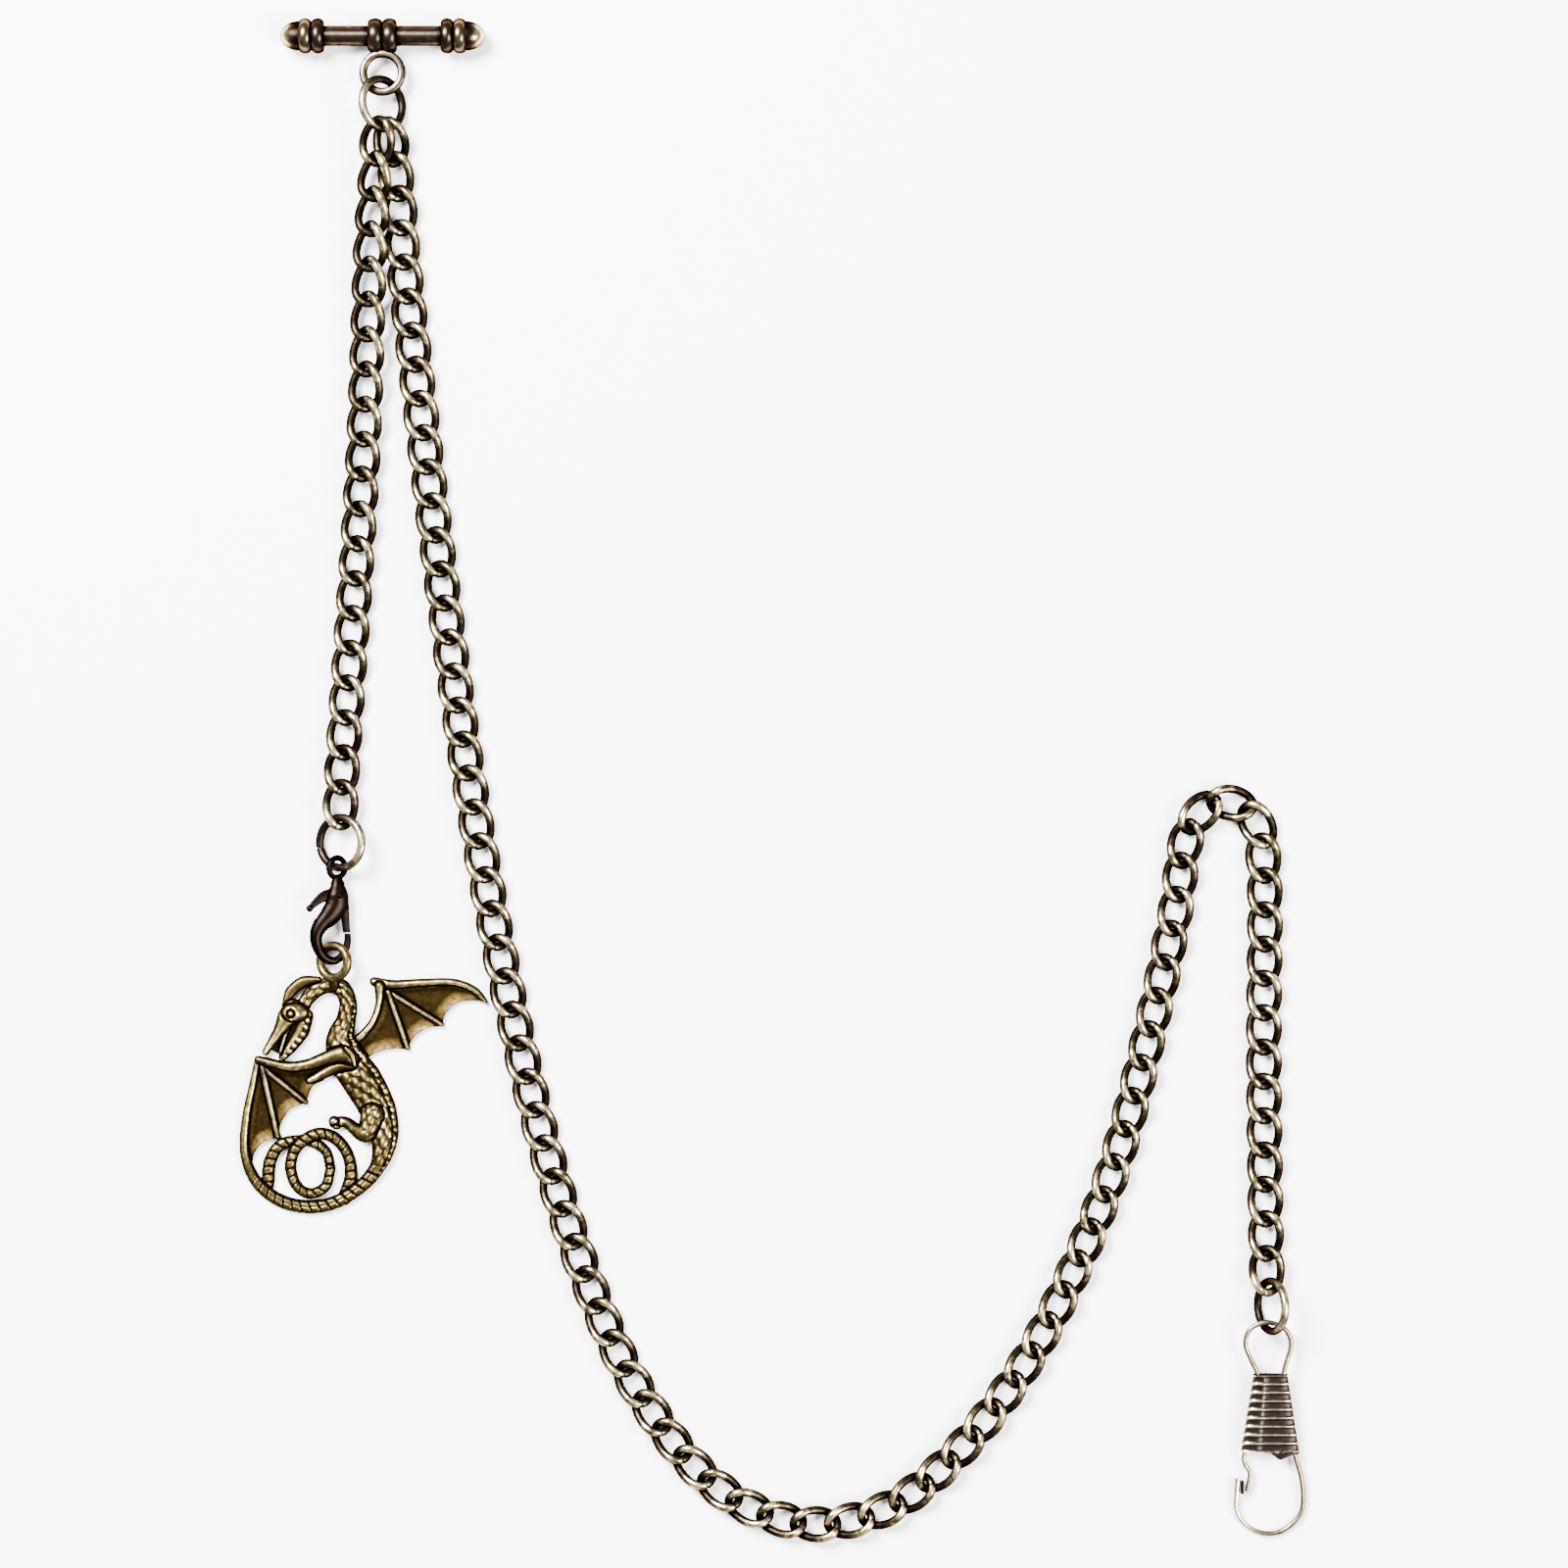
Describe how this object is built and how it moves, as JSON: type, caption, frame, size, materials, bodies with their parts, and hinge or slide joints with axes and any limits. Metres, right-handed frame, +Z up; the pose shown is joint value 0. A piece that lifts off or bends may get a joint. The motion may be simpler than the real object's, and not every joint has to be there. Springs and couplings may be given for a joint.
{
  "type": "pocket watch chain",
  "caption": "Double pocket watch chain in aged brass: T-bar, short chain with a dragon charm on a lobster clasp, and long curb chain with a spring clip for the watch.",
  "frame": {"origin": "middle of the chain's box on the surface it lies on", "axes": "+Z up from the surface, +Y from the watch clip's end towards the T-bar, +X from the charm's side towards the clip's side"},
  "size_m": [0.1739, 0.2481, 0.0085],
  "materials": {
    "t_bar_brass": "aged brass, polished, with a dark patina left in the grooves",
    "chain_brass": "aged brass, rubbed bright on the high strands and dark below",
    "ring_brass": "aged brass wire, brushed",
    "clasp_brass": "dark bronze-brown plated casting",
    "charm_brass": "yellow antique brass casting with dark recesses",
    "clip_wire_brass": "pale brass spring wire",
    "clip_sleeve_brass": "brown-black patinated sheet brass, bright on the rib crests",
    "spring_steel": "spring wire"
  },
  "bodies": {
    "t_bar": {"t_bar_rod": "t_bar_brass", "t_bar_collar": "t_bar_brass", "t_bar_finial_left": "t_bar_brass", "t_bar_finial_right": "t_bar_brass"},
    "top_ring": {"top_jump_ring": "ring_brass"},
    "short_run_01": {"short_chain_run_01": "chain_brass"},
    "short_run_02": {"short_chain_run_02": "chain_brass"},
    "short_run_03": {"short_chain_run_03": "chain_brass"},
    "short_run_04": {"short_chain_run_04": "chain_brass"},
    "fob_ring": {"fob_jump_ring": "ring_brass"},
    "lobster": {"lobster_body": "clasp_brass", "lobster_pin": "clasp_brass", "lobster_spring": "spring_steel"},
    "lobster_lever": {"lobster_lever": "clasp_brass"},
    "dragon_charm": {"dragon_charm": "charm_brass"},
    "long_run_01": {"long_chain_run_01": "chain_brass"},
    "long_run_02": {"long_chain_run_02": "chain_brass"},
    "long_run_03": {"long_chain_run_03": "chain_brass"},
    "long_run_04": {"long_chain_run_04": "chain_brass"},
    "long_run_05": {"long_chain_run_05": "chain_brass"},
    "long_run_06": {"long_chain_run_06": "chain_brass"},
    "long_run_07": {"long_chain_run_07": "chain_brass"},
    "long_run_08": {"long_chain_run_08": "chain_brass"},
    "long_run_09": {"long_chain_run_09": "chain_brass"},
    "long_run_10": {"long_chain_run_10": "chain_brass"},
    "long_run_11": {"long_chain_run_11": "chain_brass"},
    "long_run_12": {"long_chain_run_12": "chain_brass"},
    "long_run_13": {"long_chain_run_13": "chain_brass"},
    "long_run_14": {"long_chain_run_14": "chain_brass"},
    "long_run_15": {"long_chain_run_15": "chain_brass"},
    "long_run_16": {"long_chain_run_16": "chain_brass"},
    "long_run_17": {"long_chain_run_17": "chain_brass"},
    "long_run_18": {"long_chain_run_18": "chain_brass"},
    "clip_ring": {"clip_jump_ring": "ring_brass"},
    "clip": {"clip_wire": "clip_wire_brass", "clip_sleeve": "clip_sleeve_brass"},
    "clip_gate": {"clip_gate": "clip_wire_brass", "clip_latch_channel": "clip_sleeve_brass"}
  },
  "joints": [
    {"name": "lobster_lever_pivot", "type": "hinge", "parent": "lobster", "child": "lobster_lever", "pos_m": [-0.07052, -0.01858, 0.00254], "axis": [-0.3051, 0.0476, -0.9511], "range_deg": [0, 20], "stiffness_Nm_per_rad": 0.0002, "springref_deg": -11.46},
    {"name": "clip_gate_flex", "type": "hinge", "parent": "clip", "child": "clip_gate", "pos_m": [0.07725, -0.10893, 0.00174], "axis": [0, -0.0849, 0.9964], "range_deg": [0, 15], "stiffness_Nm_per_rad": 0.0005, "springref_deg": -5.73},
    {"name": "top_ring_swing", "type": "hinge", "parent": "t_bar", "child": "top_ring", "pos_m": [-0.06335, 0.1121, 0.0029], "axis": [0, 0, 1], "range_deg": [-5, 20]},
    {"name": "short_swing_01", "type": "hinge", "parent": "top_ring", "child": "short_run_01", "pos_m": [-0.06372, 0.10675, 0.0036], "axis": [0, 0, 1], "range_deg": [-20, 0]},
    {"name": "short_swing_02", "type": "hinge", "parent": "short_run_01", "child": "short_run_02", "pos_m": [-0.06563, 0.07837, 0.0016], "axis": [0, 0, -1], "range_deg": [0, 20]},
    {"name": "short_swing_03", "type": "hinge", "parent": "short_run_02", "child": "short_run_03", "pos_m": [-0.06677, 0.04998, 0.0016], "axis": [0, 0, 1], "range_deg": [-20, 0]},
    {"name": "short_swing_04", "type": "hinge", "parent": "short_run_03", "child": "short_run_04", "pos_m": [-0.06867, 0.02163, 0.0016], "axis": [0, 0, -1], "range_deg": [0, 20]},
    {"name": "fob_ring_swing", "type": "hinge", "parent": "short_run_04", "child": "fob_ring", "pos_m": [-0.07017, -0.0068, 0.0028], "axis": [0, 0, 1], "range_deg": [-25, 0]},
    {"name": "lobster_swing", "type": "hinge", "parent": "fob_ring", "child": "lobster", "pos_m": [-0.0705, -0.0142, 0.00285], "axis": [0, 0, -1], "range_deg": [-2, 30]},
    {"name": "charm_swing", "type": "hinge", "parent": "lobster", "child": "dragon_charm", "pos_m": [-0.0713, -0.0283, 0.0022], "axis": [0, 0, 1], "range_deg": [-20, 7]},
    {"name": "long_swing_01", "type": "hinge", "parent": "top_ring", "child": "long_run_01", "pos_m": [-0.06267, 0.1068, 0.0032], "axis": [0, 0, -1], "range_deg": [-20, 0]},
    {"name": "long_swing_02", "type": "hinge", "parent": "long_run_01", "child": "long_run_02", "pos_m": [-0.06049, 0.09009, 0.0016], "axis": [0, 0, 1], "range_deg": [0, 20]},
    {"name": "long_swing_03", "type": "hinge", "parent": "long_run_02", "child": "long_run_03", "pos_m": [-0.05748, 0.06228, 0.0016], "axis": [0, 0, -1], "range_deg": [-20, 0]},
    {"name": "long_swing_04", "type": "hinge", "parent": "long_run_03", "child": "long_run_04", "pos_m": [-0.0541, 0.0345, 0.0016], "axis": [0, 0, 1], "range_deg": [0, 20]},
    {"name": "long_swing_05", "type": "hinge", "parent": "long_run_04", "child": "long_run_05", "pos_m": [-0.05036, 0.00677, 0.0016], "axis": [0, 0, -1], "range_deg": [-20, 0]},
    {"name": "long_swing_06", "type": "hinge", "parent": "long_run_05", "child": "long_run_06", "pos_m": [-0.04573, -0.02083, 0.0016], "axis": [0, 0, 1], "range_deg": [-3, 25]},
    {"name": "long_swing_07", "type": "hinge", "parent": "long_run_06", "child": "long_run_07", "pos_m": [-0.03992, -0.0482, 0.0016], "axis": [0, 0, -1], "range_deg": [-25, 25]},
    {"name": "long_swing_08", "type": "hinge", "parent": "long_run_07", "child": "long_run_08", "pos_m": [-0.03227, -0.07511, 0.0016], "axis": [0, 0, 1], "range_deg": [-25, 25]},
    {"name": "long_swing_09", "type": "hinge", "parent": "long_run_08", "child": "long_run_09", "pos_m": [-0.02093, -0.10061, 0.0016], "axis": [0, 0, -1], "range_deg": [-20, 25]},
    {"name": "long_swing_10", "type": "hinge", "parent": "long_run_09", "child": "long_run_10", "pos_m": [-0.00104, -0.11943, 0.0016], "axis": [0, 0, 1], "range_deg": [-25, 10]},
    {"name": "long_swing_11", "type": "hinge", "parent": "long_run_10", "child": "long_run_11", "pos_m": [0.02499, -0.11441, 0.0016], "axis": [0, 0, -1], "range_deg": [-17, 25]},
    {"name": "long_swing_12", "type": "hinge", "parent": "long_run_11", "child": "long_run_12", "pos_m": [0.0426, -0.09285, 0.0016], "axis": [0, 0, 1], "range_deg": [-25, 20]},
    {"name": "long_swing_13", "type": "hinge", "parent": "long_run_12", "child": "long_run_13", "pos_m": [0.05425, -0.06745, 0.0016], "axis": [0, 0, -1], "range_deg": [-22, 22]},
    {"name": "long_swing_14", "type": "hinge", "parent": "long_run_13", "child": "long_run_14", "pos_m": [0.06171, -0.0405, 0.0016], "axis": [0, 0, 1], "range_deg": [-25, 25]},
    {"name": "long_swing_15", "type": "hinge", "parent": "long_run_14", "child": "long_run_15", "pos_m": [0.06697, -0.01304, 0.0016], "axis": [0, 0, -1], "range_deg": [-25, 12]},
    {"name": "long_swing_16", "type": "hinge", "parent": "long_run_15", "child": "long_run_16", "pos_m": [0.08024, -0.01544, 0.0016], "axis": [0, 0, 1], "range_deg": [-17, 25]},
    {"name": "long_swing_17", "type": "hinge", "parent": "long_run_16", "child": "long_run_17", "pos_m": [0.0802, -0.04342, 0.0016], "axis": [0, 0, -1], "range_deg": [-25, 25]},
    {"name": "long_swing_18", "type": "hinge", "parent": "long_run_17", "child": "long_run_18", "pos_m": [0.08049, -0.07141, 0.0016], "axis": [0, 0, 1], "range_deg": [-25, 25]},
    {"name": "clip_ring_swing", "type": "hinge", "parent": "long_run_18", "child": "clip_ring", "pos_m": [0.08095, -0.0823, 0.0039], "axis": [0, 0, -1], "range_deg": [-17, 25]},
    {"name": "clip_swing", "type": "hinge", "parent": "clip_ring", "child": "clip", "pos_m": [0.0812, -0.0888, 0.0039], "axis": [0, 0, 1], "range_deg": [-25, 12]}
  ]
}
